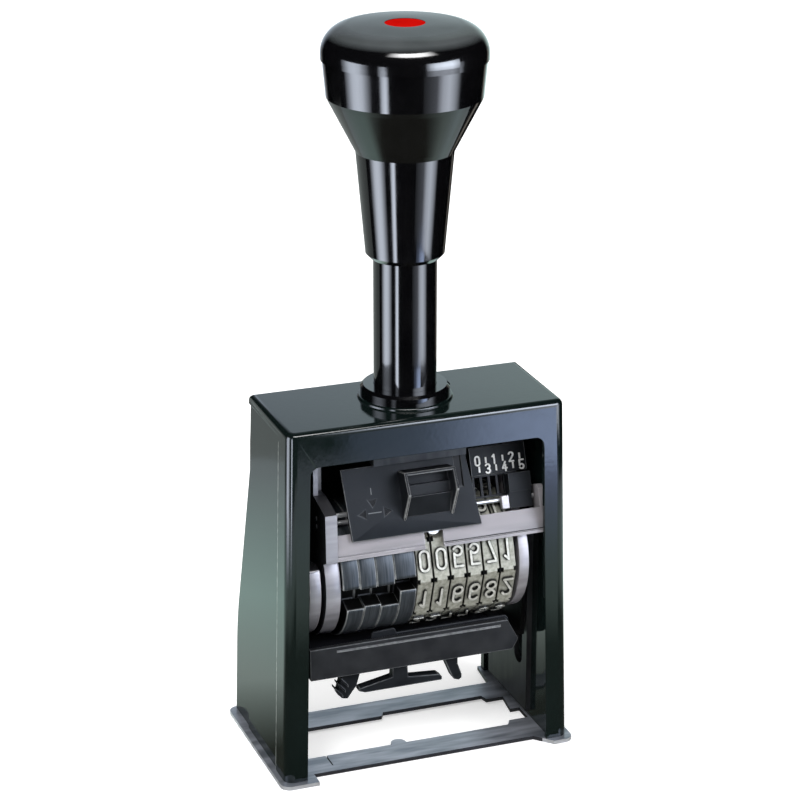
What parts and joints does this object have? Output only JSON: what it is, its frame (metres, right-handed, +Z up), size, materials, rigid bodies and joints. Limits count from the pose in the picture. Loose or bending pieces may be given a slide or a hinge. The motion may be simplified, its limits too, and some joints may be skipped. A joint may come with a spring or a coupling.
{
  "type": "numbering machine",
  "caption": "Hand numbering machine: a sprung knob presses a carriage of figure wheels through a base plate while the ink pad swings clear.",
  "frame": {"origin": "centre of the footprint at the underside of the base plate", "axes": "+Z up along the shaft, +X to the user's right, +Y away from the user"},
  "size_m": [0.078, 0.0479, 0.1849],
  "materials": {
    "lacquered_metal": "gloss black lacquer",
    "plated_steel": "dull plated sheet",
    "dark_steel": "oiled steel",
    "black_enamel": "gloss black enamel",
    "knob_plastic": "polished black",
    "badge_plastic": "glossy red",
    "zinc": "satin die-cast",
    "bright_steel": "ground",
    "matte_plastic": "fine matte black",
    "white_marks": "white filled figures",
    "blackened_metal": "satin black",
    "ink_felt": "inked felt",
    "wheel_metal": "engraved figure wheels"
  },
  "bodies": {
    "housing": {"housing_shell": "lacquered_metal", "base_plate": "plated_steel", "base_screws": "dark_steel", "left_guide_plate": "dark_steel", "right_guide_plate": "dark_steel", "guide_screws": "dark_steel", "guide_bush": "black_enamel", "bush_nut": "dark_steel", "stop_pin": "dark_steel", "spring_seat": "dark_steel", "return_spring": "dark_steel"},
    "carriage": {"shaft_tube": "black_enamel", "shaft_plug": "dark_steel", "handle_sleeve": "knob_plastic", "knob_body": "knob_plastic", "knob_cap": "knob_plastic", "knob_badge": "badge_plastic", "knob_nut": "dark_steel", "bridge_plate": "dark_steel", "shaft_pin": "dark_steel", "left_cheek": "zinc", "right_cheek": "zinc", "bridge_screws": "dark_steel", "wheel_axle": "bright_steel", "axle_spacer": "bright_steel", "front_bar": "zinc", "bar_screw": "bright_steel", "selector_rod": "bright_steel", "release_rod": "bright_steel", "scale_plate": "matte_plastic", "detent_comb": "matte_plastic", "scale_figures": "white_marks", "pawl_shaft": "dark_steel"},
    "pad_holder": {"left_pad_arm": "blackened_metal", "right_pad_arm": "blackened_metal", "follower_pins": "dark_steel", "pad_hub": "zinc", "pad_carrier": "blackened_metal", "pad_tray": "matte_plastic", "ink_pad": "ink_felt", "pad_clip": "matte_plastic", "thumb_tab": "matte_plastic", "latch_lever": "matte_plastic"},
    "number_wheel_1": {"number_wheel_1": "wheel_metal"},
    "number_wheel_2": {"number_wheel_2": "wheel_metal"},
    "number_wheel_3": {"number_wheel_3": "wheel_metal"},
    "number_wheel_4": {"number_wheel_4": "wheel_metal"},
    "number_wheel_5": {"number_wheel_5": "wheel_metal"},
    "number_wheel_6": {"number_wheel_6": "wheel_metal"},
    "repeat_cams": {"repeat_cam_1": "blackened_metal", "repeat_cam_2": "blackened_metal", "repeat_cam_3": "blackened_metal", "repeat_cam_4": "blackened_metal"},
    "release_flap": {"release_plate": "matte_plastic", "release_grip": "matte_plastic"},
    "selector": {"selector_block": "matte_plastic", "selector_tab": "zinc"},
    "pawls": {"pawl_carrier": "blackened_metal"}
  },
  "joints": [
    {"name": "press", "type": "slide", "parent": "housing", "child": "carriage", "axis": [0, 0, -1], "range_m": [0, 0.032], "stiffness_N_per_m": 450, "springref_m": -0.02, "deforming": ["return_spring"]},
    {"name": "pad_swing", "type": "hinge", "parent": "carriage", "child": "pad_holder", "pos_m": [0, -0.003, 0.0492], "axis": [1, 0, 0], "range_deg": [0, 90]},
    {"name": "pawl_swing", "type": "hinge", "parent": "carriage", "child": "pawls", "pos_m": [0, 0.0055, 0.0705], "axis": [1, 0, 0], "range_deg": [0, 10]},
    {"name": "release_tilt", "type": "hinge", "parent": "carriage", "child": "release_flap", "pos_m": [0, -0.01208, 0.06677], "axis": [-1, 0, 0], "range_deg": [0, 12], "stiffness_Nm_per_rad": 0.02, "springref_deg": -34.38},
    {"name": "selector_slide", "type": "slide", "parent": "carriage", "child": "selector", "axis": [-1, 0, 0], "range_m": [0, 0.008]},
    {"name": "repeat_turn", "type": "hinge", "parent": "carriage", "child": "repeat_cams", "pos_m": [0, -0.003, 0.0492], "axis": [1, 0, 0], "continuous": true},
    {"name": "wheel_1_turn", "type": "hinge", "parent": "carriage", "child": "number_wheel_1", "pos_m": [0, -0.003, 0.0492], "axis": [1, 0, 0], "continuous": true},
    {"name": "wheel_2_turn", "type": "hinge", "parent": "carriage", "child": "number_wheel_2", "pos_m": [0, -0.003, 0.0492], "axis": [1, 0, 0], "continuous": true},
    {"name": "wheel_3_turn", "type": "hinge", "parent": "carriage", "child": "number_wheel_3", "pos_m": [0, -0.003, 0.0492], "axis": [1, 0, 0], "continuous": true},
    {"name": "wheel_4_turn", "type": "hinge", "parent": "carriage", "child": "number_wheel_4", "pos_m": [0, -0.003, 0.0492], "axis": [1, 0, 0], "continuous": true},
    {"name": "wheel_5_turn", "type": "hinge", "parent": "carriage", "child": "number_wheel_5", "pos_m": [0, -0.003, 0.0492], "axis": [1, 0, 0], "continuous": true},
    {"name": "wheel_6_turn", "type": "hinge", "parent": "carriage", "child": "number_wheel_6", "pos_m": [0, -0.003, 0.0492], "axis": [1, 0, 0], "continuous": true}
  ],
  "couplings": [
    {"joint": "pad_swing", "follows": "press", "rad_per_m": 49.087},
    {"joint": "pawl_swing", "follows": "press", "rad_per_m": 5.4542}
  ]
}
